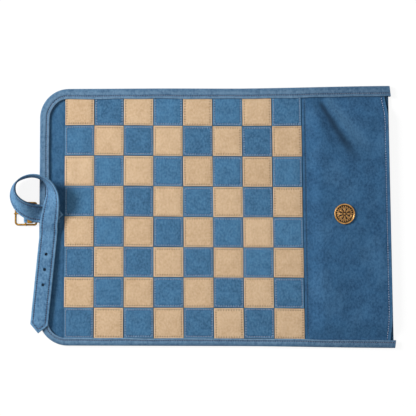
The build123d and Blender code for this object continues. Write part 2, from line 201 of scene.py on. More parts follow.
# Each suede's third colour is the pale of worn edges and of painted highlights.
suedes = {  # colour, darker blotch, rubbed edge, blotch size, nap depth
    "tanSuede": ((222, 190, 153), (204, 170, 132), (240, 214, 184), 14, 0.05),
    "blueSuede": ((74, 126, 166), (52, 94, 130), (112, 158, 194), 11, 0.06),
    "backSuede": ((60, 107, 146), (44, 84, 120), (92, 136, 172), 13, 0.07),
    "bindingSuede": ((90, 128, 160), (62, 96, 128), (134, 166, 194), 10, 0.06),
    "pocketSuede": ((55, 102, 143), (37, 73, 109), (86, 132, 171), 16, 0.07),
    "strapSuede": ((92, 139, 179), (58, 98, 136), (138, 180, 212), 9, 0.06),
}
# Grain: noise sizes and shares, and how strongly painted shade and the needle holes darken the suede.
grain = {"brushed": 2.2, "fibre": 1.1, "shares": (0.45, 0.3, 0.25), "lively": 0.3, "sunk": 0.85,
         "hole": (0.14, 0.28), "prick": 0.95, "prickDepth": 0.35, "bump": 0.8}
threads = {  # colour, colour between the twists
    "tanThread": ((234, 206, 174), (188, 150, 118)),
    "blueThread": ((208, 222, 248), (134, 152, 190)),
    "bindingThread": ((164, 168, 186), (110, 116, 142)),
    "hemThread": ((94, 132, 170), (66, 104, 142)),
    "strapThread": ((116, 110, 132), (78, 72, 98)),
}
# The dirt colour also paints the shade on the brass's sides; a marked mesh carries dirt in its hollows.
brasses = {  # bright, tarnish, dirt, roughness, whether its mesh is marked where it is sunk
    "agedBrass": ((198, 152, 94), (148, 108, 62), (38, 26, 20), 0.34, True),
    "brightBrass": ((178, 132, 56), (112, 80, 34), (44, 32, 16), 0.24, False),
}


# Suede: three sizes of noise, weighted and shifted by the tone mark, blend the dark colour into the
# colour. It is pale where brushed, and where its mark of wear and painted highlight lies; painted shade
# darkens it where its shade mark lies, and the needle holes, which lie where the count of stitches
# along a seam is whole, are painted darkest, as shade. The nap is a bump from the two fine noises.
def suede(name):
    colour, dark, light, blotch, nap = suedes[name]
    paint, kit = newPaint(name)
    where = kit.add("ShaderNodeTexCoord").outputs["Object"]
    broad = kit.spread(kit.noise(where, 1000 / blotch, 3, 0.55), 0.38, 0.62)
    brushed = kit.spread(kit.noise(where, 1000 / grain["brushed"], 4, 0.6, (1, 0.7, 1)), 0.355, 0.645)
    fibre = kit.spread(kit.noise(where, 1000 / grain["fibre"], 2, 0.6), 0.37, 0.63)
    weighed = [kit.times(size, share) for size, share in zip((broad, brushed, fibre), grain["shares"])]
    share = kit.plus(kit.plus(weighed[0], weighed[1]), weighed[2])
    tone = kit.blend(kit.plus(share, kit.mark("tone"), clamp=True), linear(dark), linear(colour))
    tone = kit.blend(kit.times(brushed, grain["lively"]), tone, linear(light))
    # Wear and painted highlight: blend towards the pale colour.
    wearAndHighlightAmount = kit.times(kit.mark("rubbed"), kit.plus(kit.times(brushed, 0.5), 0.4))
    tone = kit.blend(wearAndHighlightAmount, tone, linear(light))
    # Painted shade: blend towards half the dark colour.
    tone = kit.blend(kit.times(kit.mark("sunk"), grain["sunk"]), tone, linear([c * 0.5 for c in dark]))
    fromHole = kit.math("PINGPONG", kit.mark("stitchCount"), 0.5)
    hole = kit.less(1.0, kit.spread(fromHole, *grain["hole"]))
    pricked = kit.times(kit.times(hole, kit.mark("seam")), grain["prick"])
    # Painted shade in the needle holes.
    tone = kit.blend(pricked, tone, linear([c * 0.32 for c in dark]))
    height = kit.plus(kit.times(fibre, nap), kit.times(brushed, nap))
    height = kit.less(height, kit.times(pricked, grain["prickDepth"]))
    shader = kit.add("ShaderNodeBsdfPrincipled", {
        "Base Color": tone, "Normal": kit.bump(height, grain["bump"], mm),
        "Roughness": kit.less(0.98, kit.times(fibre, 0.1)), "Specular IOR Level": 0.15,
        "Sheen Weight": 0.12, "Sheen Roughness": 0.55, "Sheen Tint": linear(light)})
    kit.add("ShaderNodeOutputMaterial", {0: shader.outputs[0]})
    return paint


# Sewing thread: diagonal bands for the twist, plus slow noise, blend its two colours.
def thread(name):
    colour, dark = threads[name]
    paint, kit = newPaint(name)
    where = kit.add("ShaderNodeTexCoord").outputs["Object"]
    shade = kit.spread(kit.noise(where, 260, 3, 0.6), 0.35, 0.65)
    twist = kit.add("ShaderNodeTexWave", {"Scale": 1100, "Vector": where}, wave_type="BANDS",
                    bands_direction="DIAGONAL").outputs["Fac"]
    share = kit.plus(kit.times(shade, 0.65), kit.times(twist, 0.35))
    shader = kit.add("ShaderNodeBsdfPrincipled", {
        "Base Color": kit.blend(share, linear(dark), linear(colour)),
        "Normal": kit.bump(twist, 1.0, 0.05 * mm), "Roughness": 0.6})
    kit.add("ShaderNodeOutputMaterial", {0: shader.outputs[0]})
    return paint


# Brass: clouds of tarnish over the bright colour, with painted shade on the sides and a painted
# highlight on top, where the normal's height is near 1; scratches from stretched noise, and dirt where
# the mesh is marked.
def brass(name):
    bright, tarnish, dirt, roughness, marked = brasses[name]
    paint, kit = newPaint(name)
    coordinates = kit.add("ShaderNodeTexCoord").outputs
    where = coordinates["Object"]
    clouds = kit.spread(kit.noise(where, 330, 4, 0.6), 0.38, 0.66)
    scratches = kit.spread(kit.noise(where, 900, 3, 0.7, (1, 0.12, 1)), 0.4, 0.6)
    facing = kit.add("ShaderNodeSeparateXYZ", {0: coordinates["Normal"]}).outputs[2]
    # Painted light by the normal's height: shade on the sides, towards the dirt colour, and a highlight on
    # top.
    rubbed = kit.spread(facing, 0.25, 0.92)
    metal = kit.blend(clouds, linear(bright), linear(tarnish))
    metal = kit.blend(kit.plus(kit.times(rubbed, 0.75), 0.25), linear(dirt), metal)
    worn, metallic = kit.plus(kit.times(clouds, 0.18), roughness), 1.0
    if marked:
        sunk = kit.mark("sunk")
        metal = kit.blend(sunk, metal, linear(dirt))
        worn = kit.plus(worn, kit.times(sunk, 0.25), clamp=True)
        metallic = kit.less(1.0, kit.times(sunk, 0.5))
    shader = kit.add("ShaderNodeBsdfPrincipled", {
        "Base Color": metal, "Metallic": metallic, "Roughness": worn,
        "Normal": kit.bump(scratches, 0.35, 0.05 * mm)})
    kit.add("ShaderNodeOutputMaterial", {0: shader.outputs[0]})
    return paint


paints = {name: suede(name) for name in suedes}
paints.update({name: thread(name) for name in threads})
paints.update({name: brass(name) for name in brasses})
print("finishes: suedes, threads and brasses are made")


mat = {
    "squareX": 35.7, "squareY": 36.5, "left": -173.2, "right": 247.5, "lower": -154.9, "upper": 153.2,
    "corner": 35.0, "inset": 1.2, "table": -4.0, "sheetBottom": -2.8, "sheetTop": -1.4,
    "hinges": [-107.1, -71.4, -35.7, 0.0, 35.7, 71.4, 107.1, 143.15], "bend": 3.5,
    "pocketBends": [(166.2, 175.2), (209.0, 218.0)],
    "cuts": [-124.95, -89.25, -53.55, -17.85, 17.85, 53.55, 89.25, 125.1, 158.5, 192.1, 228.9],
    "upperLeg": 12.7, "leftLeg": 11.8, "lowerLeg": 9.3,
    "spreadUpper": 2.2, "spreadLower": -1.7, "upperBow": 0.7, "mouthLean": 2.1,
}
fieldLeft, fieldUpper = -4 * mat["squareX"], 4 * mat["squareY"]
bodies = ["edge_flap", *[f"column_{i}" for i in range(2, 9)], "pocket_inner", "pocket_middle", "pocket_mouth"]
zones = [(h - mat["bend"], h + mat["bend"]) for h in mat["hinges"]] + mat["pocketBends"]


# 0 where x is at start or below, 1 from start + run on, and an S curve between: three times the
# square of the share of the run, less twice its cube.
def smooth(x, start=0.0, run=1.0):
    t = np.clip((x - start) / run, 0, 1)
    return t * t * (3 - 2 * t)


# 1 at the middle, falling away to both sides like a bell, e to the minus square.
def bell(x, middle, width):
    return np.exp(-(((x - middle) / width) ** 2))


# Half a circle of radius 1 over x, and 0 outside it: the root of 1 minus x squared.
def arch(x):
    return np.sqrt(np.maximum(1 - x**2, 0))


# How far a face falls near its side: a quarter circle of radius r, flat from there on.
def roundFall(edge, r):
    return r * (1 - arch(np.clip(1 - edge / r, 0, 1)))


# Sum of sine waves of random heading, of about this length, mostly between -1 and 1.
def ripple(x, y, size, seed, count=9):
    rng = np.random.default_rng(seed)
    total = np.zeros(np.broadcast(x, y).shape)
    for heading, phase, length in zip(rng.uniform(0, 6.28, count), rng.uniform(0, 6.28, count),
                                      size * rng.uniform(0.6, 1.6, count)):
        total += np.sin((x * np.cos(heading) + y * np.sin(heading)) * 6.283 / length + phase)
    return total / np.sqrt(count)


# Grid lines from stop to stop, each run cut into pieces about as long as its step.
def lines(stops, steps):
    runs = []
    for a, b, step in zip(stops, stops[1:], steps):
        runs.append(np.linspace(a, b, max(2, int(round(abs(b - a) / step)) + 1))[:-1])
    return np.concatenate([*runs, [stops[-1]]])


# Coordinates side by side as points; a single number stretches to the size of the others.
def together(*coordinates):
    return np.stack(np.broadcast_arrays(*coordinates), -1)


# Distance of each point along its line: the lengths of the steps before it, added up.
def distances(path):
    return np.concatenate([[0], np.cumsum(np.linalg.norm(np.diff(path, axis=0), axis=1))])


# Values of a line's columns at these distances along it, straight between its points.
def valuesAt(at, along, values):
    return np.stack([np.interp(at, along, column) for column in values.T], 1)


# Each row divided by its length.
def unit(vectors):
    return vectors / np.linalg.norm(vectors, axis=1)[:, None]


# The mat isn't quite square: its long sides spread by S curves of x and y towards the pocket, the
# upper one bows out before that, and x leans in proportion to y and an S curve of x.
def settled(points):
    x, y = points[:, 0], points[:, 1]
    upper = mat["spreadUpper"] * smooth(y, 60, 90)
    lower = mat["spreadLower"] * smooth(-y, 60, 90)
    out = points.copy()
    out[:, 1] += smooth(x, 60, 190) * np.where(y > 0, upper, lower)
    out[:, 1] += mat["upperBow"] * smooth(y, 110, 43) * (1 - smooth(x, -40, 120))
    out[:, 0] -= mat["mouthLean"] * smooth(x, -180, 425) * y / 150
    return out


# One object from points in millimetres and lists of corners, shaded smooth except at folds.
def makePiece(name, paint, points, faces, marks=None, sharp=38, onMat=True):
    mesh = bpy.data.meshes.new(name)
    faces = faces if isinstance(faces, list) else faces.tolist()
    mesh.from_pydata(((settled(points) if onMat else points) * mm).tolist(), [], faces)
    mesh.materials.append(paints[paint])
    for label, values in (marks or {}).items():
        mark = mesh.attributes.new(label, "FLOAT", "POINT")
        kept = values if label in ("stitchCount", "tone") else np.clip(values, 0, 1)
        mark.data.foreach_set("value", np.asarray(kept, np.float32).ravel())
    mesh.shade_smooth()
    mesh.set_sharp_from_angle(angle=math.radians(sharp))
    return placed(name, mesh)


# Middles of the cells between grid lines: half the sum of each two neighbours.
def middles(u, v):
    return ((u[1:] + u[:-1]) / 2)[:, None], ((v[1:] + v[:-1]) / 2)[None]


# The four corners of each cell of a grid of point numbers.
def gridCells(index):
    return np.stack([index[:-1, :-1], index[1:, :-1], index[1:, 1:], index[:-1, 1:]], -1)


# The four corners of each cell between two closed rings of point numbers.
def band(a, b):
    return np.stack([a, np.roll(a, -1), np.roll(b, -1), b], -1)


# Point numbers of n rings of m points, each ring's next points, and the cells between the rings.
def ringCells(n, m):
    index = np.arange(n * m).reshape(n, m)
    after = np.roll(index, -1, 1)
    return index, after, np.stack([index[:-1], index[1:], after[1:], after[:-1]], -1).reshape(-1, 4)


# Closed sheet between two grids of points: both grids' cells, and a wall wherever a kept cell meets
# the outside or a cell that is left out. The marks are picked for the points that are used.
def slab(top, bottom, marks, keep=None):
    nu, nv = top.shape[:2]
    gap = nu * nv
    keep = np.ones((nu - 1, nv - 1), bool) if keep is None else keep
    upper = np.arange(gap).reshape(nu, nv)
    cells = gridCells(upper)[keep]
    quads = [cells, cells[:, ::-1] + gap]
    padded = np.pad(keep, 1)
    for first, second, inner, outer in (
        (upper[:-1, :], upper[1:, :], padded[1:-1, 1:], padded[1:-1, :-1]),
        (upper[:, 1:], upper[:, :-1], padded[1:, 1:-1], padded[:-1, 1:-1]),
    ):
        wall = np.stack([first + gap, second + gap, second, first], -1)
        quads += [wall[inner & ~outer], wall[outer & ~inner][:, ::-1]]
    quads = np.concatenate(quads)
    used, corners = np.unique(quads, return_inverse=True)
    points = np.concatenate([top.reshape(-1, 3), bottom.reshape(-1, 3)])[used]
    marks = {label: np.broadcast_to(m, (nu, nv)).ravel()[used % gap] for label, m in marks.items()}
    return points, corners.reshape(quads.shape), marks


# Several (points, faces, marks) as one: each part's corners count on from the parts before it.
def joined(parts):
    starts = np.cumsum([0] + [len(points) for points, faces, marks in parts])
    faces = np.concatenate([part[1] + start for part, start in zip(parts, starts)])
    marks = {label: np.concatenate([part[2][label] for part in parts]) for label in parts[0][2]}
    return np.concatenate([part[0] for part in parts]), faces, marks


# A row of stitches along a line of points: each is a short six-sided tube, thick in the middle,
# whose two ends dive into the leather. It takes up this share of the pitch.
def stitches(path, normals, pitch=2.5, radius=0.3, share=0.7):
    along = distances(path)
    count = max(1, int(along[-1] / pitch))
    at = (np.arange(count) + 0.5) * along[-1] / count
    centre = valuesAt(at, along, path)
    way = unit(valuesAt(at + 0.3, along, path) - valuesAt(at - 0.3, along, path))
    side = unit(np.cross(valuesAt(at, along, normals), way))
    up = np.cross(way, side)
    t = np.array([-0.5, -0.3, 0.3, 0.5]) * (pitch * share)
    r = np.array([0.35, 1.0, 1.0, 0.35]) * radius
    dip = np.array([-0.9, 0.1, 0.1, -0.9]) * radius
    angle = np.arange(6) * np.pi / 3
    ring = np.stack([np.repeat(t, 6), np.outer(r, np.cos(angle)).ravel(),
                     (np.outer(r, np.sin(angle)) + dip[:, None]).ravel()], 1)
    points = (centre[:, None] + ring[None, :, 0:1] * way[:, None]
              + ring[None, :, 1:2] * side[:, None] + ring[None, :, 2:3] * up[:, None])
    tube = ringCells(4, 6)[2][:, [0, 3, 2, 1]]
    caps = np.array([[3, 2, 1, 0], [5, 4, 3, 0], [18, 19, 20, 21], [18, 21, 22, 23]])
    one = np.concatenate([tube, caps])
    faces = (one[None] + 24 * np.arange(count)[:, None, None]).reshape(-1, 4)
    return points.reshape(-1, 3), faces, {}


# How many stitches lie before each point of a line: its share of the length, times the whole number.
def stitchCount(path, pitch):
    along = distances(path)
    return along / along[-1] * max(1, int(along[-1] / pitch))


# The same upward normal for each point of a line.
def upright(path):
    return np.tile([0.0, 0.0, 1.0], (len(path), 1))


# Hides the CAD nodes that a piece stands for.
def finishPiece(stands=()):
    if stands:
        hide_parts(*stands)


# Stretch 0 rides on the first body and the last on the last body; stretch k, across hinge k, keeps its place.
def attach(piece, stretch, stands=()):
    if stretch == 0:
        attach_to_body(piece, bodies[0])
    elif stretch == len(bodies):
        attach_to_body(piece, bodies[-1])
    else:
        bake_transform(piece)
    finishPiece(stands)


# Grid lines along the roll, from one cut to the next, close together where the sheet bends.
def stretchLines(k, left, right, coarse):
    ends = [left, *mat["cuts"], right]
    if k in (0, len(bodies)):
        return lines(ends[k:k + 2], [coarse])
    return lines([ends[k], *zones[k - 1], ends[k + 1]], [coarse, 0.9, coarse])


# The back sheet, stretch by stretch, between its long sides. At the round corners they draw in by
# r less the root of r squared less the square of the way into the corner. Its bare margin swells
# in slow waves, and painted shade darkens it along the field's edge and in the mouth's drawn-in
# corners, inside the pocket.
def backSheet():
    inset = mat["inset"]
    low, high, r = mat["lower"] + inset, mat["upper"] - inset, mat["corner"] - inset
    left, right = mat["left"] + inset, mat["right"]
    share = lines([0, 0.05, 0.95, 1], [0.01, 0.02, 0.01])
    for k in range(len(bodies) + 1):
        x = stretchLines(k, left, right, 4.0)
        if k == 0:
            x = np.concatenate([left + r * (1 - np.cos(np.linspace(0, np.pi / 2, 14))), x[x > left + r + 1]])
        cut = r - np.sqrt(np.maximum(r**2 - np.clip(left + r - x, 0, r) ** 2, 0))
        y = (low + cut)[:, None] + (high - low - 2 * cut)[:, None] * share[None]
        xx = np.repeat(x[:, None], len(share), 1)
        margin = smooth(mat["left"] + 30, xx, 3) * smooth(np.minimum(y - low, high - y), 9, 5)
        lift = margin * (0.22 * ripple(xx, y, 34, 5) + 0.08 * ripple(xx, y, 9, 6))
        # Painted shade: a dark line along the field's edge, and the mouth's corners darkened inside the
        # pocket.
        paintedFieldEdgeShade = bell(xx, fieldLeft - 0.6, 1.4) * (xx < fieldLeft + 1)
        corners = smooth(xx, 240.5, 1.5) * (smooth(y, 108, 8) + smooth(-y, 112, 8))
        sheet = slab(together(xx, y, mat["sheetTop"] + np.clip(lift, -0.3, 0.4)),
                     together(xx, y, mat["sheetBottom"]), {"sunk": 0.6 * paintedFieldEdgeShade + 0.7 * corners})
        piece = makePiece(f"backSheet_{k}", "backSuede", *sheet)
        attach(piece, k, [f"base_{bodies[min(k, len(bodies) - 1)]}"])


backSheet()
print("mat: the back sheet is laid")


squares = {"gap": 0.22, "sway": 0.22, "round": 0.7, "row": 1.9, "rowSway": 0.35, "dip": 0.25, "puff": 0.32,
           "pitch": 2.8, "thread": 0.36, "share": 0.66, "drift": (0.5, 2.1), "turn": 0.006, "bow": 0.16,
           "tone": 0.24,
           # pale edge of wear and painted highlight, painted shade on the row, painted shade at the side,
           # needle holes
           "tanMarks": (0.6, 0.0, 0.3, 0.85), "blueMarks": (0.85, 0.26, 0.75, 0.95)}


# Sizes of one square, each of its own: centre, turn, how far its four sides and its four sewn rows
# stand from where they should be, and how its sides bow: the usual size plus a random share.
def patchSizes(column, row):
    rng = np.random.default_rng(100 * column + row)
    sides = squares["gap"] + squares["sway"] * rng.uniform(-0.8, 1, 4)
    rows = squares["row"] + squares["rowSway"] * rng.uniform(-1, 1, 4)
    w, h, turn = mat["squareX"] / 2, mat["squareY"] / 2, squares["turn"]
    left, right, lower, upper = sides[0] - w, w - sides[1], sides[2] - h, h - sides[3]
    return {"x": fieldLeft + (column - 0.5) * mat["squareX"], "y": fieldUpper - (row - 0.5) * mat["squareY"],
            "sides": (left, right, lower, upper), "rows": rows,
            "rowPlaces": (left + rows[0], right - rows[1], lower + rows[2], upper - rows[3]),
            "turn": rng.uniform(-turn, turn), "bow": squares["bow"] * rng.uniform(-1, 1, 4),
            "tone": rng.uniform(-squares["tone"], squares["tone"])}


# Grid lines from side to side: close at the rounded sides and about the sewn rows.
def patchLines(low, high, lowRow, highRow):
    near = np.array([0, 0.12, 0.35, 0.72])
    about = np.array([-0.85, -0.42, 0, 0.42, 0.85, 1.8, 3.3])
    start = np.concatenate([near, lowRow + about]) + low
    end = high - np.concatenate([near, highRow + about])[::-1]
    return np.concatenate([start, np.linspace(start[-1], end[0], 10)[1:-1], end])


# A point of the square on the mat: turned a little, its sides bowed by cosines, and drifting to the
# right and down with the whole field towards the pocket.
def patchPlace(size, u, v):
    w, h = mat["squareX"], mat["squareY"]
    bow, turn = size["bow"], size["turn"]
    bowX = (bow[0] * smooth(2 * u / w) + bow[1] * smooth(-2 * u / w)) * np.cos(3 * v / h)
    bowY = (bow[2] * smooth(2 * v / h) + bow[3] * smooth(-2 * v / h)) * np.cos(3 * u / w)
    x, y = size["x"] + u - turn * v + bowX, size["y"] + v + turn * u + bowY
    right, down = squares["drift"]
    share = smooth(x, -150, 290)
    return x + right * share, y - down * share * smooth(y, -135, 150) * (1 - smooth(y, 116, 30))


# One square: its upper face falls away in a round at the side, dips along the sewn rows, and is
# crowned in the middle, but stays flat under the binding.
def patch(column, row):
    size = patchSizes(column, row)
    (sideLeft, sideRight, sideLower, sideUpper), rows = size["sides"], size["rows"]
    left, right, lower, upper = size["rowPlaces"]
    u, v = patchLines(sideLeft, sideRight, *rows[:2]), patchLines(sideLower, sideUpper, *rows[2:])
    u, v = np.meshgrid(u, v, indexing="ij")
    edge = np.minimum(np.minimum(u - sideLeft, sideRight - u), np.minimum(v - sideLower, sideUpper - v))
    fromX, fromY = np.minimum(abs(u - left), abs(u - right)), np.minimum(abs(v - lower), abs(v - upper))
    fromRow = np.minimum(fromX + 9 * ((v < lower - 0.3) | (v > upper + 0.3)),
                         fromY + 9 * ((u < left - 0.3) | (u > right + 0.3)))
    x, y = patchPlace(size, u, v)
    puff = squares["puff"] * smooth(edge, 2.6, 6) + 0.13 * ripple(x, y, 15, 3) * smooth(edge / 6)
    free = smooth((mat["upper"] - mat["upperLeg"] - 0.5 - y) / 2)
    free = free * smooth((y - mat["lower"] - mat["lowerLeg"] - 0.5) / 2)
    z = -roundFall(edge, squares["round"]) + (puff - squares["dip"] * bell(fromRow, 0, 0.6)) * free - 0.05
    countX = (u - left) / (right - left) * int((right - left) / squares["pitch"])
    countY = (v - lower) / (upper - lower) * int((upper - lower) / squares["pitch"])
    wearAndHighlightAmount, paintedRowShade, paintedSideShade, prick = squares["tanMarks" if (column + row) % 2 == 0 else "blueMarks"]
    # Marks: a pale rim of wear and painted highlight, painted shade along the sewn rows and at the very side,
    # and needle holes.
    marks = {"rubbed": bell(edge, 1.0, 1.1) * wearAndHighlightAmount * (1 + 0.3 * ripple(x, y, 12, 8)),
             "sunk": bell(fromRow, 0, 0.5) * paintedRowShade + (edge < 0.15) * paintedSideShade,
             "seam": bell(fromRow, 0, 0.66) * prick, "tone": np.full_like(u, size["tone"]),
             "stitchCount": np.where(fromY < fromX, countX, countY)}
    return slab(together(x, y, np.minimum(z, 0.5)), together(x, y, mat["sheetTop"] + 0.02), marks)


# The rows of stitches on one square, lying in its dips. The upper row of squares has three.
def sewnRows(column, row):
    size = patchSizes(column, row)
    left, right, lower, upper = size["rowPlaces"]
    t = np.linspace(0, 1, 9)
    across, up = left + (right - left) * t, lower + (upper - lower) * t
    rows = []
    for u, v in ((across, lower + 0 * t), (left + 0 * t, up), (right + 0 * t, up),
                 (across, upper + 0 * t))[:4 if row > 1 else 3]:
        path = together(*patchPlace(size, u, v), -0.05 - squares["dip"] + 0.13)
        rows.append(stitches(path, upright(path), squares["pitch"], squares["thread"], squares["share"]))
    return rows


for column in range(1, 9):
    for colour in ("tan", "blue"):
        chosen = [row for row in range(1, 9) if ((column + row) % 2 == 0) == (colour == "tan")]
        made = joined([patch(column, row) for row in chosen])
        piece = makePiece(f"{colour}Squares_{column}", f"{colour}Suede", *made, 60)
        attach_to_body(piece, bodies[column - 1])
        finishPiece([f"{colour}_squares_column_{column}"])
        made = joined([part for row in chosen for part in sewnRows(column, row)])
        sewn = makePiece(f"{colour}SquareStitches_{column}", f"{colour}Thread", *made)
        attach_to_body(sewn, bodies[column - 1])
        finishPiece()
print("squares: 64 patches are sewn on")


binding = {"rowShare": 0.3, "lip": 0.7, "level": 1.1, "lipPuff": 0.34, "rollPuff": 0.22, "groove": 0.6,
           "pitch": 2.6, "thread": 0.3, "slant": 1.2, "leather": 1.2, "wander": 0.22, "paleNear": 0.5,
           "toneNear": -0.65}


# Section of the binding for each station: distance in from the outer edge, and height. A half
# circle outside, then above a roll and a lip crowned by sines, with a sewn groove between them, a
# flat leg below, and the inner side of the fold. Painted shade darkens the groove and the fold's inner
# edge, and a painted highlight with wear makes it pale where it stands up.
def bindingLoop(width, seat):
    width, seat = width[:, None], seat[:, None]
    top, table, leather, lip = binding["level"], mat["table"], binding["leather"], binding["lip"]
    middle, r = (top + table) / 2, (top - table) / 2
    one = np.ones_like(width)
    row = binding["rowShare"] * width
    near = np.array([0, 0.06, 0.22, 0.5, 0.9])[None] * one
    about = row + np.array([-1.5, -1.0, -0.6, -0.3, 0, 0.3, 0.6, 1.0, 1.6])[None]
    share = np.linspace(0, 1, 8)[None, 1:]
    fromLip = np.concatenate([near, about, (row + 1.6) * (1 - share) + (width - 2.6) * share], 1)
    rowIndex = 9
    fall = roundFall(fromLip, lip) + (fromLip < 0.01) * (top - seat - lip) * 0.45
    onLip = np.sin(np.pi * np.clip(fromLip / row, 0, 1))
    onRoll = np.sin(np.pi * np.clip((fromLip - row) / (width - 2.6 - row), 0, 1))
    z = top - fall + binding["lipPuff"] * onLip + binding["rollPuff"] * onRoll
    z = z - binding["groove"] * bell(fromLip, row, 0.55)
    angle = np.linspace(90, 270, 13)[None, 1:-1] * np.pi / 180
    under = [2.6 * one, width - row, width - 0.5, width - 0.1]
    inner = [width, leather * one, leather * one, width - 0.1]
    u = np.concatenate([width - fromLip, r + r * np.cos(angle) * one, *under, *inner], 1)
    z = np.concatenate([z, middle + r * np.sin(angle) * one, (table + np.array([0, 0, 0, 0.25])) * one,
                        (table + leather) * one, (table + leather) * one, seat, seat], 1)
    underIndex = fromLip.shape[1] + angle.shape[1] + 1
    # Painted shade in the groove and at the fold's inner edge; painted highlight with wear on the lip and
    # roll.
    marks = {"sunk": 0.22 * bell(fromLip, row, 0.6) + 0.5 * (fromLip < 0.1),
             "rubbed": 0.8 * bell(fromLip, 0.75, 0.6) + 0.4 * onRoll**2 + 0.2 * onLip,
             "seam": 0.4 * bell(fromLip, row, 0.6)}
    rest = ((0, 0), (0, u.shape[1] - fromLip.shape[1]))
    return u, z, rowIndex, underIndex, {label: np.pad(m, rest) for label, m in marks.items()}


# The binding's section carried along a line of places on the outer edge: each place plus the way
# inward times the distance, wandering in slow waves and leaning at the mouth. Darker near the pocket.
def carried(place, inward, width, seat, flip):
    u, z, rowIndex, underIndex, marks = bindingLoop(width, seat)
    u = u + (binding["wander"] * ripple(*place.T, 55, 11))[:, None] * smooth(u / 4)
    x = place[:, 0:1] + inward[:, 0:1] * u
    x = x + binding["slant"] * (u / width[:, None] - 0.4) * smooth(x, 236, 13)
    y = place[:, 1:2] + inward[:, 1:2] * u
    z = z + smooth(z, 0.2, 0.5) * 0.1 * ripple(x, y, 9, 12)
    points, pitch = together(x, y, z), binding["pitch"]
    rows = [stitches(points[:, rowIndex] + [0, 0, 0.14], upright(place), pitch, binding["thread"]),
            stitches(points[:, underIndex] + [0, 0, 0.16], -upright(place), pitch, 0.2)]
    index, _, quads = ringCells(*u.shape)
    caps = np.stack([index[0], index[-1][::-1]])
    if not flip:
        quads, caps = quads[:, ::-1], caps[:, ::-1]
    near = smooth(x, 120, 90)
    marks["rubbed"] = marks["rubbed"] * (1 - binding["paleNear"] * near)
    marks["stitchCount"] = np.repeat(stitchCount(points[:, rowIndex], pitch)[:, None], u.shape[1], 1)
    marks["tone"] = binding["toneNear"] * near
    return points.reshape(-1, 3), quads, caps, {label: m.ravel() for label, m in marks.items()}, rows


# Underside of the upper leg: level with the squares and the pocket, and by an S curve down to the
# back sheet left of them, but up on the tab where that passes.
def seatLevel(x, y):
    level = mat["sheetTop"] * smooth(fieldLeft - 0.4, x, 3)
    onTab = smooth(12.2, abs(y - 2.9), 0.8) * (x < mat["left"] + 20)
    return level * (1 - onTab) - 0.2 * onTab * (x < fieldLeft - 4)


# The outer edge from the upper side round two quarter circles to the lower side, the way inward,
# and the binding's width, which changes by S curves of the height.
def leftPath():
    r, left, up, low = mat["corner"], mat["left"], mat["upper"], mat["lower"]
    topX = np.linspace(mat["cuts"][0], left + r, 5)[:-1]
    turn = np.radians(np.linspace(90, 180, 30))
    c, s = np.cos(turn), np.sin(turn)
    sideY = np.linspace(up - r, low + r, 70)[1:-1]
    place = np.concatenate([
        together(topX, up), together(left + r + r * c, up - r + r * s), together(left, sideY),
        together(left + r + r * c[::-1], low + r - r * s[::-1]), together(topX[::-1], low)])
    inward = np.concatenate([
        np.tile([0, -1.0], (len(topX), 1)), together(-c, -s), np.tile([1.0, 0], (len(sideY), 1)),
        together(-c[::-1], s[::-1]), np.tile([0, 1.0], (len(topX), 1))])
    a, b = smooth(up - 8, place[:, 1], 26), smooth(place[:, 1] - low, 8, 26)
    width = mat["upperLeg"] * (1 - a) + mat["leftLeg"] * a * b + mat["lowerLeg"] * (1 - b)
    return place, inward, width, False


# The binding and its stitches, stretch by stretch: one run round the left end, then an upper and a
# lower one. It sums the runs' length, and their flat width, twice the leg plus the turn over the edge, times
# each step.
def addBinding():
    for k in range(len(bodies) + 1):
        x = stretchLines(k, mat["left"], mat["right"] + 2.0, 5.0)
        runs = [leftPath()] if k == 0 else [
            (together(x, y), np.tile([0, way], (len(x), 1)), np.full(len(x), width), flip)
            for y, way, width, flip in ((mat["upper"], -1.0, mat["upperLeg"], True),
                                        (mat["lower"], 1.0, mat["lowerLeg"], False))]
        parts, faces, sewn, start, length, cut = [], [], [], 0, 0, 0
        for place, inward, width, flip in runs:
            seat = seatLevel(*(place + inward * 6).T)
            points, quads, caps, marks, rows = carried(place, inward, width, seat, flip)
            faces += (quads + start).tolist() + (caps + start).tolist()
            parts.append((points, quads, marks))
            start += len(points)
            sewn += rows
            steps = np.linalg.norm(np.diff(place, axis=0), axis=1)
            length += steps.sum()
            cut += (steps * (2 * width[1:] + 5)).sum()
        points, _, marks = joined(parts)
        piece = makePiece(f"binding_{k}", "bindingSuede", points, faces, marks, 50)
        attach(piece, k, [f"binding_{bodies[min(k, len(bodies) - 1)]}"])
        attach(makePiece(f"bindingStitches_{k}", "bindingThread", *joined(sewn)), k)


addBinding()
print("binding: folded round three sides")


panel = {
    "left": 143.5, "right": 246.7, "upper": 144.4, "lower": -153.3, "leather": 1.4,
    "rise": 5.4, "edgeRise": 0.3, "footUpper": 135.8, "footLower": -144.7, "ramp": 20.0,
    "slopeStart": 147.5, "slope": 20.0, "hemRow": 147.4, "hemRise": 0.72, "hemDip": 0.24,
    "mouthRow": 4.4, "mouthDip": 0.3, "waves": (0.42, 0.16), "drawnUpper": 4.4, "drawnLower": 2.6,
    "foldStart": (165.7, 136.1), "foldEnd": (208.9, 67.7), "foldHeight": 2.5, "foldShade": 0.966,
    "snap": (192.1, 1.9), "snapHalf": 16.8, "snapBore": 10.2, "capRadius": 12.3,
    "middle": (175.3, 208.9), "seam": (-144.5, 139.5), "pitch": 2.84,
}


# Along the fold and across it, in millimetres from its start, and its width, which grows along it.
# The line from start to end is bent by a square of the way along.
def foldPlace(x, y):
    (ax, ay), (bx, by) = panel["foldStart"], panel["foldEnd"]
    run = math.hypot(bx - ax, by - ay)
    dx, dy = (bx - ax) / run, (by - ay) / run
    along = (x - ax) * dx + (y - ay) * dy
    across = -(x - ax) * dy + (y - ay) * dx
    return along, -across + 0.0011 * (along - 40) ** 2 - 1.5, 4.6 + 0.045 * np.clip(along, 0, 90)


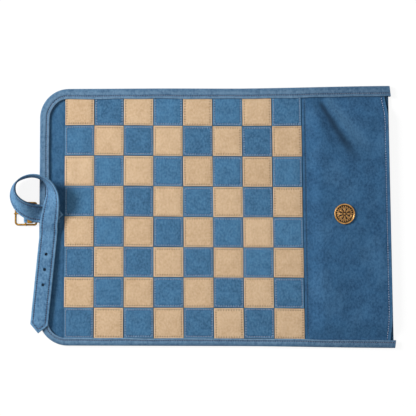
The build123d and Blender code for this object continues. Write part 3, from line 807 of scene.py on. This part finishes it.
# The panel's upper face: a plateau that falls in S curves to its three sewn sides, a turned hem
# along the inner edge, a doubled mouth edge drawn in at both corners by powers of the height, slow
# waves that die out near the snap, and one long fold, a bell up beside a bell down.
def panelTop(s, y):
    s, y = np.broadcast_arrays(s, y)
    p = panel
    sides = smooth(p["footUpper"], y, p["ramp"]) * smooth(y, p["footLower"], p["ramp"])
    rise = p["edgeRise"] + (p["rise"] - p["edgeRise"]) * smooth(s, p["slopeStart"], p["slope"])
    free = smooth(139.5, y, 6) * smooth(y, -144.6, 6)
    fromMouth, fromInner = p["right"] - s, s - p["left"]
    z = rise * sides - 0.04 + p["hemRise"] * (1 - smooth(s, 146.3, 1.4)) * free
    z = z - p["hemDip"] * bell(s, p["hemRow"], 0.75) * free
    z = z - p["mouthDip"] * bell(fromMouth, p["mouthRow"], 0.7) * free
    z = z + 0.14 * bell(fromMouth, 1.8, 1.2) * free
    calm = smooth(np.hypot(s - p["snap"][0], y - p["snap"][1]), 12.5, 12)
    inner = smooth(fromInner, 6, 14) * smooth(fromMouth, 5, 12)
    broad, fine = p["waves"]
    z = z + calm * inner * free * (broad * ripple(s, y, 62, 21, 7) + fine * ripple(s, y, 24, 22))
    along, across, width = foldPlace(s, y)
    reach = smooth(along, -10, 18) * (1 - smooth(along, 50, 46))
    ridge = bell(across, -width, width * 1.15) - bell(across, width, width * 1.05)
    z = z + p["foldHeight"] * ridge * reach * free - roundFall(fromInner, 1.0) - roundFall(fromMouth, 0.75)
    drawn = p["drawnUpper"] * np.clip((y - 112) / 32, 0, 1) ** 1.4
    drawn = drawn + p["drawnLower"] * np.clip((-y - 112) / 34, 0, 1) ** 1.4
    return together(s - drawn * smooth(s, 209, 28), y, z)


# The panel's under face: the upper one lowered by the leather, doubled in the two hems.
def panelBottom(s, y):
    top = panelTop(np.clip(s, panel["left"] + 0.9, panel["right"] - 0.8), y)
    thick = panel["leather"] + 1.0 * (1 - smooth(s, 146.8, 1.6)) + 0.8 * smooth(s, 241.2, 0.8)
    lower = top[..., 2] - thick + 0.02
    return together(panelTop(s, y)[..., 0], y, np.maximum(lower, mat["sheetTop"] + 0.03))


# The panel's marks, sums of bells: painted shade in the fold, along the rows, at the inner edge and
# under the upper binding, and painted highlight, with some wear, on the fold's lit ridge, the inner hem,
# the mouth's edge and in slow waves.
def panelMarks(s, y):
    along, across, width = foldPlace(s, y)
    reach = smooth(along, -6, 12) * (1 - smooth(along, 52, 42))
    fromMouth, fromInner = panel["right"] - s, s - panel["left"]
    hem, mouth = panel["hemRow"], panel["mouthRow"]
    # Painted shade: the fold's dark flank, the rows, the inner edge and along the upper binding.
    sunk = panel["foldShade"] * bell(across, 0.8, width * 0.8) * reach + 0.04 * bell(s, hem, 0.5)
    sunk = sunk + 0.25 * bell(fromMouth, mouth, 0.5) + 0.25 * smooth(y, 137.5, 3)
    sunk = sunk + 0.95 * bell(fromInner, 0, 0.35)
    # Painted highlight: the fold's lit flank, the mouth's edge and the inner hem, with wear in slow waves.
    rubbed = 0.9 * bell(across, -width * 2.0, width * 1.3) * reach + 0.8 * bell(fromMouth, 1.0, 0.9)
    rubbed = rubbed + 0.45 * bell(fromInner, 3.4, 1.5) + 0.3 * smooth(ripple(s, y, 48, 31))
    seam = 0.2 * bell(s, hem, 0.6) + 0.8 * bell(fromMouth, mouth, 0.6)
    count = (y - panel["seam"][0]) / panel["pitch"]
    return {"sunk": sunk, "rubbed": rubbed, "seam": seam, "stitchCount": count}


# A piece of the panel between grid lines, or on a grid of its own.
def panelPiece(name, s, y):
    s, y = np.meshgrid(s, y, indexing="ij") if s.ndim == 1 else (s, y)
    return makePiece(name, "pocketSuede", *slab(panelTop(s, y), panelBottom(s, y), panelMarks(s, y)), 50)


left, right = panel["middle"]
(px, py), half = panel["snap"], panel["snapHalf"]
snapLow, snapHigh = py - half, py + half
panelY = lines([panel["lower"], -145, -124, 116, 140, panel["upper"]], [2.5, 1.4, 2.6, 1.4, 2.2])
panelY = np.unique(np.round(np.concatenate([panelY, [snapLow, snapHigh]]), 4))
innerS = np.concatenate([
    panel["left"] + np.array([0, 0.1, 0.3, 0.6, 1.0, 1.6, 2.4, 3.0, 3.4, 3.9, 4.4, 5.0, 6.0]),
    lines([151.5, 166.2, left], [1.8, 0.9])])
outerS = np.concatenate([
    lines([right, 209.0, 218.0, 241.0], [0.1, 0.9, 2.0])[:-1],
    panel["right"] - np.array([5.7, 5.0, 4.7, 4.4, 4.1, 3.8, 3.1, 2.2, 1.4, 0.8, 0.5, 0.2, 0.05, 0])])

piece = panelPiece("pocketPanelInner", innerS, panelY)
attach(piece, bodies.index("pocket_middle"), ["pocket_front_inner"])
for name, chosen in (("Upper", panelY >= snapHigh - 0.001), ("Lower", panelY <= snapLow + 0.001)):
    part = panelY[chosen]
    piece = panelPiece(f"pocketPanelMiddle{name}", lines([left, right], [1.6]), part)
    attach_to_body(piece, "pocket_middle")
    finishPiece(["pocket_front_middle"])
piece = panelPiece("pocketPanelMouth", outerS, panelY)
attach(piece, bodies.index("pocket_mouth"), ["pocket_front_mouth"])

# The square round the snap is four wedges, from its side to the bore under the cap.
t, r = np.linspace(-1, 1, 21), np.linspace(0, 1, 12)[:, None, None]
outer = together(half, half * t)
inner = panel["snapBore"] * together(np.cos(t * np.pi / 4), np.sin(t * np.pi / 4))
flat = outer[None] * (1 - r) + inner[None] * r
for turn, (ax, ay) in enumerate(((1, 0), (0, 1), (-1, 0), (0, -1))):
    x, y = px + flat[..., 0] * ax - flat[..., 1] * ay, py + flat[..., 0] * ay + flat[..., 1] * ax
    piece = panelPiece(f"pocketPanelSnap_{turn + 1}", x[::-1], y[::-1])
    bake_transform(piece)
    finishPiece(["pocket_front_snap_patch"])

seamY = np.linspace(*panel["seam"], 143)
for name, s, colour in (("Inner", panel["hemRow"], "hemThread"),
                        ("Mouth", panel["right"] - panel["mouthRow"], "blueThread")):
    path = panelTop(np.full_like(seamY, s), seamY) + [0, 0, 0.14]
    row = stitches(path, upright(path), panel["pitch"] * 0.999)
    sewn = makePiece(f"pocket{name}Stitches", colour, *row)
    if name == "Mouth":
        attach(sewn, bodies.index("pocket_mouth"))
    else:
        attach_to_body(sewn, "pocket_inner")
        finishPiece()
print("pocket: the panel is sewn on, with its fold and hems")


cap = {"rim": 11.35, "rimLevel": 1.5, "rimHeight": 0.75, "inner": 10.42, "beads": 22, "beadRing": 9.1,
       "beadHeight": 0.42, "ring": 7.75, "ringHeight": 0.22, "petals": 8, "boss": 1.5, "bossHeight": 0.62,
       "post": 2.0, "postEnd": 2.8}


# Height over the seat by radius and angle, and dirt: arches for the rim, the beads and the boss on a
# dome that falls with the square of the radius, a fine ring, a groove inside the rim, and petals
# whose tips follow the cosine of the angle, with a vein. Dirt lies between the beads and petals.
def capHeight(r, a):
    dome = 1.35 - 0.0022 * r**2
    dome = dome - 0.45 * smooth(r, 9.9, 0.5) * (1 - smooth(r, 10.3, 0.3)) + 0.2 * smooth(r, 10.4, 0.4)
    bead = np.cos(a * cap["beads"] / 2) ** 2
    beads = cap["beadHeight"] * arch((r - cap["beadRing"]) / 0.62) * smooth(bead, 0.12, 0.7)
    wave = np.abs(np.cos(a * cap["petals"] / 2))
    inside = smooth(3.4 + 3.4 * wave**0.8, r, 0.7) * smooth(r, 1.9, 0.5)
    petal = inside * (0.30 + 0.28 * wave * np.sin(np.pi * np.clip((r - 1.6) / 5.4, 0, 1)))
    vein = -0.18 * inside * bell(np.arccos(np.clip(wave, 0, 1)) * r, 0, 0.22) * smooth(r, 2.4, 1)
    dirt = smooth(0.7, bead, 0.35) * bell(r, cap["beadRing"], 0.95) + bell(r, 10.3, 0.25)
    dirt = dirt + 0.35 * bell(r, 7.2, 0.4) + bell(r, 1.8, 0.4)
    dirt = dirt + smooth(0.74, wave, 0.35) * smooth(r, 1.8, 0.5) * smooth(7.0, r, 0.6)
    dirt = np.clip(1.3 * dirt + 0.12, 0, 1) * (r < 10.5)
    ring, boss = cap["ringHeight"] * bell(r, cap["ring"], 0.3), cap["bossHeight"] * arch(r / cap["boss"])
    face = dome + beads + ring + petal + vein + boss - 0.3 * dirt
    rim = cap["rimLevel"] + cap["rimHeight"] * arch((r - cap["rim"]) / 0.95)
    rim = rim * smooth(panel["capRadius"], r, 0.12)
    return face * (r < cap["inner"]) + rim * (r >= cap["inner"]), dirt


# The cap: rings of points at each radius, its post below, and a pole at the middle of each side.
def addCap():
    r = np.concatenate([np.linspace(0.12, 1.6, 8), np.linspace(1.75, 7.2, 34), np.linspace(7.35, 10.3, 22),
                        [10.4, 10.46], np.linspace(10.6, 12.1, 10), [12.2, 12.26, 12.3]])
    a = np.linspace(0, 2 * np.pi, 289)[:-1]
    rr, aa = np.meshgrid(r, a, indexing="ij")
    z, dirt = capHeight(rr, aa)
    (x, y), seat = panel["snap"], panel["rise"]
    foot = cap["postEnd"] - seat
    under = np.array([(11.9, -0.02), (cap["post"], -0.02), (cap["post"], foot), (0.5, foot)])
    ru, zu = under.T[:, :, None] + 0 * a
    rAll, zAll = np.concatenate([rr, ru]), np.concatenate([z, zu])
    points = together(x + rAll * np.cos(a), y + rAll * np.sin(a), seat + zAll)
    poles = [[x, y, seat + z[0].mean()], [x, y, seat + foot]]
    points = np.concatenate([points.reshape(-1, 3), poles])
    index, after, quads = ringCells(*rAll.shape)
    top, bottom = together(rAll.size, index[0], after[0]), together(rAll.size + 1, after[-1], index[-1])
    faces = quads.tolist() + top.tolist() + bottom.tolist()
    marks = {"sunk": np.concatenate([dirt.ravel(), np.zeros(ru.size + 2)])}
    piece = makePiece("snapMedallion", "agedBrass", points, faces, marks, 40, onMat=False)
    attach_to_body(piece, "snap")
    finishPiece(["snap_cap"])


addCap()
print("snap: the cap has its beads and petals")


strap = {
    "width": 21.5, "thickness": 2.2, "point": 10.2, "row": 3.3, "rowDip": 0.36, "edge": 0.8, "pitch": 2.6,
    "thread": 0.34, "tail": 119.5, "heading": -95.6, "holes": (24.6, 43.0, 61.4), "holeRadius": 1.5,
    "window": 2.6, "rubbed": 0.62, "share": 0.62, "crown": (-172.4, -161.8), "sag": 0.012, "sagLimit": 1.1,
    # x, y, height of the middle line over the playing face, lean of the width in degrees
    "stations": [
        (-153.8, 2, 1.15, 0), (-156, 2.2, 1.30, 0), (-160.9, 2.6, 2.65, 0), (-166.8, 2.8, 2.70, 0),
        (-172.5, 3.1, 2.93, 2), (-178.1, 4, 6.77, 10), (-184.1, 6, 11.33, 22), (-190.2, 9.2, 13.71, 34),
        (-197.5, 15.6, 14.36, 47), (-202.2, 24.2, 13.01, 59), (-202.6, 32.1, 11.30, 67),
        (-199.9, 39, 10.43, 76), (-193.3, 44.1, 10.21, 85), (-184, 47.1, 10.95, 90),
        (-174.5, 46.8, 12.39, 96), (-165.8, 43.5, 13.03, 104), (-159.9, 38.2, 12.84, 115),
        (-156.6, 31.7, 12.15, 129), (-155.3, 24, 11.62, 142), (-155.9, 15.7, 10.64, 155),
        (-157.8, 6.7, 7.29, 168), (-159.7, -3.4, 5.53, 178), (-160.8, -11.6, 4.35, 180),
        (-161.2, -21.3, 2.55, 180),
    ],
}


# Smooth cubic through the stations, by chord length, with both end directions given: the slopes
# solve the usual three-term system, and each run is a Hermite cubic. Gives place and direction.
def throughStations(values, at, first, last, t):
    h = np.diff(at)[:, None]
    d = np.diff(values, axis=0) / h
    n = len(values)
    system, right = np.eye(n), np.empty_like(values)
    right[0], right[-1] = first, last
    k = np.arange(1, n - 1)
    system[k, k - 1], system[k, k], system[k, k + 1] = h[1:, 0], 2 * (h[:-1, 0] + h[1:, 0]), h[:-1, 0]
    right[1:-1] = 3 * (h[1:] * d[:-1] + h[:-1] * d[1:])
    slope = np.linalg.solve(system, right)
    i = np.clip(np.searchsorted(at, t, side="right") - 1, 0, n - 2)
    w = ((t - at[i]) / h[i, 0])[:, None]
    a, b, run = values[i], values[i + 1], h[i]
    place = (a * (1 + 2 * w) * (1 - w) ** 2 + b * w**2 * (3 - 2 * w)
             + run * slope[i] * w * (1 - w) ** 2 - run * slope[i + 1] * w**2 * (1 - w))
    way = ((b - a) * 6 * w * (1 - w) / run
           + slope[i] * (1 - w) * (1 - 3 * w) - slope[i + 1] * w * (2 - 3 * w))
    return place, way


stations = np.array(strap["stations"], float)
stationAt = distances(stations[:, :3])
loopLength = stationAt[-1]
bandEnd = loopLength + strap["tail"]
heading = math.radians(strap["heading"])
headingWay, rootWay = np.array([math.cos(heading), math.sin(heading), 0]), np.array([-1, 0.03, 0])


# Point of the strap u along from the foot of its pointed root, v across and h out of its face:
# the middle line's place, plus the leaning width times v, plus the normal times h. Its free end
# sags by a square of the way out from the binding's crown, and wavers.
def strapPlace(u, v, h):
    u, v, h = (np.asarray(a, float) for a in np.broadcast_arrays(u, v, h))
    flatU = u.ravel()
    inner = np.clip(flatU, 0, loopLength)
    place, way = throughStations(stations[:, :3], stationAt, rootWay, headingWay, inner)
    lean = sum(np.interp(inner + away, stationAt, stations[:, 3]) for away in (0, -4, 4)) / 3
    lean = np.radians(lean)[:, None]
    place = place + np.maximum(flatU - loopLength, 0)[:, None] * headingWay
    place = place + np.minimum(flatU, 0)[:, None] * rootWay
    way = unit(way)
    side = unit(together(way[:, 1], -way[:, 0], 0))
    width = side * np.cos(lean) + np.cross(side, way) * np.sin(lean)
    face = np.cross(width, way)
    points = place + width * v.ravel()[:, None] + face * h.ravel()[:, None]
    x, y, _ = points.T
    free = smooth(-14, y, 20)
    far, near = strap["crown"]
    off = np.maximum(far - x, 0) + 0.7 * np.maximum(x - near, 0)
    points[:, 2] -= free * np.minimum(strap["sag"] * off**2, strap["sagLimit"])
    points[:, 2] += np.maximum(smooth(y, -150, 8) * free * 0.16 * ripple(x, y, 40, 77, 5), -0.1)
    return points.reshape(*u.shape, 3), face.reshape(*u.shape, 3)


# Half thickness: full inside, rounded off at the outline and dipped along the sewn row; and the
# distance in from the outline, the least of that from its long sides and its slanting ends.
def strapHalf(u, v):
    half, point = strap["width"] / 2, strap["point"]
    slant = math.hypot(half, point)
    root = ((u + point) * half - abs(v) * point) / slant
    end = ((bandEnd - u) * half - abs(v) * point) / slant
    edge = np.minimum(half - abs(v), np.minimum(root, end))
    fall, dip = roundFall(edge, strap["edge"]), strap["rowDip"] * bell(edge, strap["row"], 0.55)
    return strap["thickness"] / 2 - fall - dip + 0.1 * smooth(edge, 3.6, 3) - 0.06, edge


# Where the straight sewn rows of the strap begin and end, in from each tip: the row times the slant's
# length, plus the rest of the half width times the point, over the half width.
def rowRun():
    half, point, row = strap["width"] / 2, strap["point"], strap["row"]
    bend = (row * math.hypot(half, point) + (half - row) * point) / half
    return bend - point, bandEnd - bend


# The band: two faces on one grid, narrowed to its points, a wall round them, and for each hole a
# square window filled by rings that blend from the window's border to a circle, then its wall.
def addStrap():
    half, point, window = strap["width"] / 2, strap["point"], strap["window"]
    holes = [loopLength + h for h in strap["holes"]]
    stops, steps = [-point + 0.05, 0, loopLength - 6, loopLength + 6], [0.8, 1.8, 1.6]
    for h in holes:
        stops += [h - window, h + window]
        steps += [2.2, window / 4]
    u = lines(stops + [bandEnd - point, bandEnd - 0.05], steps + [2.2, 0.8])
    side = np.array([0, 0.08, 0.25, 0.5, 0.8, 1.3, 1.9, 2.5, 2.9, 3.3, 3.7, 4.2, 5.2, 6.6])
    v = np.concatenate([side - half, np.linspace(-window, window, 9), half - side[::-1]])
    uu, vv = np.meshgrid(u, v, indexing="ij")
    vv = vv * np.clip(np.minimum((u + point) / point, (bandEnd - u) / point), 0.01, 1)[:, None]
    hh, edge = strapHalf(uu, vv)
    midU, midV = middles(u, v)
    keep = np.ones((len(u) - 1, len(v) - 1), bool)
    for h in holes:
        keep &= ~((abs(midU - h) < window) & (abs(midV) < window))
    size = uu.size
    upper = np.arange(size).reshape(uu.shape)
    cells = gridCells(upper)[keep]
    ring = np.concatenate([upper[:, 0], upper[-1, 1:], upper[-2::-1, -1], upper[0, -2:0:-1]])
    between = 2 * size + np.arange(len(ring))
    faces = [cells[:, ::-1], cells + size, band(ring, between), band(between, ring + size)]
    points = [strapPlace(uu, vv, hh)[0].reshape(-1, 3), strapPlace(uu, vv, -hh)[0].reshape(-1, 3),
              strapPlace(uu.ravel()[ring], vv.ravel()[ring], 0)[0]]
    # Painted shade near the outline of both faces along the loop, and on the wall's middle ring.
    nearEdge = 1 - smooth(edge, 0.6, 0.5)
    inner = 0.75 * nearEdge * (1 - smooth(uu, 95, 25))
    outer = 0.85 * nearEdge * (vv > 0) * smooth(uu, 24, 10) * (1 - smooth(uu, 84, 12))
    low, high = rowRun()
    count = (uu - low) / (high - low) * int((high - low) / strap["pitch"])
    edges = [edge.ravel(), edge.ravel(), np.zeros(len(ring))]
    counts = [count.ravel(), count.ravel(), np.zeros(len(ring))]
    dark = [outer.ravel(), inner.ravel(), np.full(len(ring), 0.9)]
    start = 2 * size + len(ring)
    for h in holes:
        i0, i1 = np.searchsorted(u, h - window - 0.01), np.searchsorted(u, h + window - 0.01)
        j0, j1 = np.searchsorted(v, -window - 0.01), np.searchsorted(v, window - 0.01)
        border = np.concatenate([upper[i0:i1, j0], upper[i1, j0:j1],
                                 upper[i1:i0:-1, j1], upper[i0, j1:j0:-1]])
        bu, bv = uu.ravel()[border] - h, vv.ravel()[border]
        angle, m = np.arctan2(bv, bu), len(border)
        above, below = border, border + size
        # The hole walls carry painted shade, nearly black.
        for share, sink, shade in ((0.5, 0.0, 0.0), (0.86, 0.05, 1.0), (1.0, 0.35, 1.0)):
            ru = h + bu * (1 - share) + strap["holeRadius"] * np.cos(angle) * share
            rv = bv * (1 - share) + strap["holeRadius"] * np.sin(angle) * share
            rh = strapHalf(ru, rv)[0] - sink
            points += [strapPlace(ru, rv, rh)[0], strapPlace(ru, rv, -rh)[0]]
            edges.append(np.full(2 * m, 6.0))
            counts.append(np.zeros(2 * m))
            dark.append(np.full(2 * m, shade))
            now = np.arange(m) + start
            faces += [band(above, now)[:, ::-1], band(below, now + m)]
            above, below = now, now + m
            start += 2 * m
        faces.append(band(above, below)[:, ::-1])
    edge, dark = np.concatenate(edges), np.concatenate(dark)
    marks = {"sunk": 0.08 * bell(edge, strap["row"], 0.5) + dark, "seam": bell(edge, strap["row"], 0.7),
             "rubbed": strap["rubbed"] * (1 - dark) * bell(edge, 0.8, 0.9) + 0.15 * smooth(edge, 5, 4),
             "stitchCount": np.concatenate(counts)}
    points, faces = np.concatenate(points), np.concatenate(faces)
    return makePiece("strapBand", "strapSuede", points, faces, marks, 55, onMat=False)


# Sewn rows at one distance in from the outline, on both faces: straight along each side, and slanting
# into the points from where the rows turn.
def strapRows():
    half, point, row = strap["width"] / 2, strap["point"], strap["row"]
    inset = row * math.hypot(half, point) / half
    low, high = rowRun()
    rows = []
    for away in (row - half, half - row):
        corners = [(inset - point, 0.0), (low, away), (high, away), (bandEnd - inset, 0.0)]
        for (u0, v0), (u1, v1) in zip(corners, corners[1:]):
            count = max(2, int(abs(u1 - u0)))
            u, v = np.linspace(u0, u1, count), np.linspace(v0, v1, count)
            h = strapHalf(u, v)[0] + 0.16
            for out in (1, -1):
                place, face = strapPlace(u, v, out * h)
                rows.append(stitches(place, out * face, strap["pitch"], strap["thread"], strap["share"]))
    return joined(rows)


piece, sewn = addStrap(), makePiece("strapStitches", "strapThread", *strapRows(), onMat=False)
for part, stands in ((piece, ["strap", "strap_tail"]), (sewn, [])):
    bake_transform(part)
    finishPiece(stands)
print(f"strap: one band, {bandEnd + strap['point']:.0f} mm long, with three holes")


tab = {"barX": -189.6, "barZ": -0.9, "y": 2.9, "width": 21.5, "thickness": 1.2, "bore": 1.15, "lap": 9.2,
       "slot": 3.0, "slotEnd": -186.7, "round": 0.4, "row": 2.6, "rowDip": 0.12, "thread": 0.25,
       # x and height of the middle line from the bar to the end under the binding
       "over": [(-186.0, 0.78), (-182.0, 0.62), (-178.4, 0.42), (-176.9, 0.30), (-174.6, -0.35),
                (-172.6, -0.80), (-170.0, -0.80), (-160.0, -0.80), (-148.0, -0.80)]}


# Middle line of the folded strip, seen from the side: under the bar, half a circle round it, over
# the rear of the frame and down between the back sheet and the binding.
def tabLine():
    x, z, r = tab["barX"], tab["barZ"], tab["bore"] + tab["thickness"] / 2
    angle = np.radians(np.linspace(270, 90, 15))
    lap = together(np.linspace(x + tab["lap"], x, 8)[:-1], np.linspace(z - r + 0.15, z - r, 8)[:-1])
    return np.concatenate([lap, together(x + r * np.cos(angle), z + r * np.sin(angle)), tab["over"]])


# The tab: its middle line plus and minus its normal times half the thickness, rounded at the sides
# and dipped along its rows, which carry painted shade, with a slot for the prong at the bar, where it is
# paler, as it is at its sides.
def addTab():
    line = tabLine()
    at = distances(line)
    x, z = valuesAt(np.linspace(0, at[-1], 110), at, line).T
    way = unit(together(np.gradient(x), np.gradient(z)))
    half, thick, row = tab["width"] / 2, tab["thickness"] / 2, tab["row"]
    side = np.array([0, 0.1, 0.3, 0.6, 1.2, 2.0, 2.6, 3.2, 4.4])
    v = np.concatenate([side - half, lines([-5.4, -1.5, 1.5, 5.4], [1.3, 0.75, 1.3]), half - side[::-1]])
    fromSide = half - abs(v)
    h = thick - roundFall(fromSide, tab["round"]) - tab["rowDip"] * bell(fromSide, row, 0.5)
    top, bottom = (together((x - s * way[:, 1] * thick)[:, None], tab["y"] + v[None],
                            z[:, None] + s * way[:, 0:1] * h[None]) for s in (1, -1))
    midX, midV = middles(x, v)
    slot = (midX < tab["slotEnd"]) & (abs(midV) < tab["slot"] / 2)
    # Pale at the sides and the turned end; painted shade along the rows.
    turned = 0.6 * smooth(-188.4, x, 2)
    marks = {"rubbed": np.clip(0.7 * bell(fromSide, 0.5, 0.6)[None] + turned[:, None], 0, 1),
             "sunk": 0.5 * bell(fromSide, row, 0.45)[None]}
    piece = makePiece("buckleTab", "strapSuede", *slab(top, bottom, marks, ~slot), 50, onMat=False)
    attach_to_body(piece, "edge_flap")
    finishPiece(["buckle_tab"])
    rows = []
    for away in (row - half, half - row):
        path = together((-187.5, -177.8), tab["y"] + away, (1.46, 1.02))
        rows.append(stitches(path, upright(path), radius=tab["thread"]))
    sewn = makePiece("buckleTabStitches", "strapThread", *joined(rows), onMat=False)
    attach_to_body(sewn, "edge_flap")
    finishPiece()


addTab()
for name in ("buckle_frame", "buckle_prong", "strap_keeper", "snap_socket", "snap_stud", "snap_rivet"):
    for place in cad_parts[name].material_slots:
        place.material = paints["brightBrass"]
print("buckle: the tab is folded round the bar, the metal is brass")
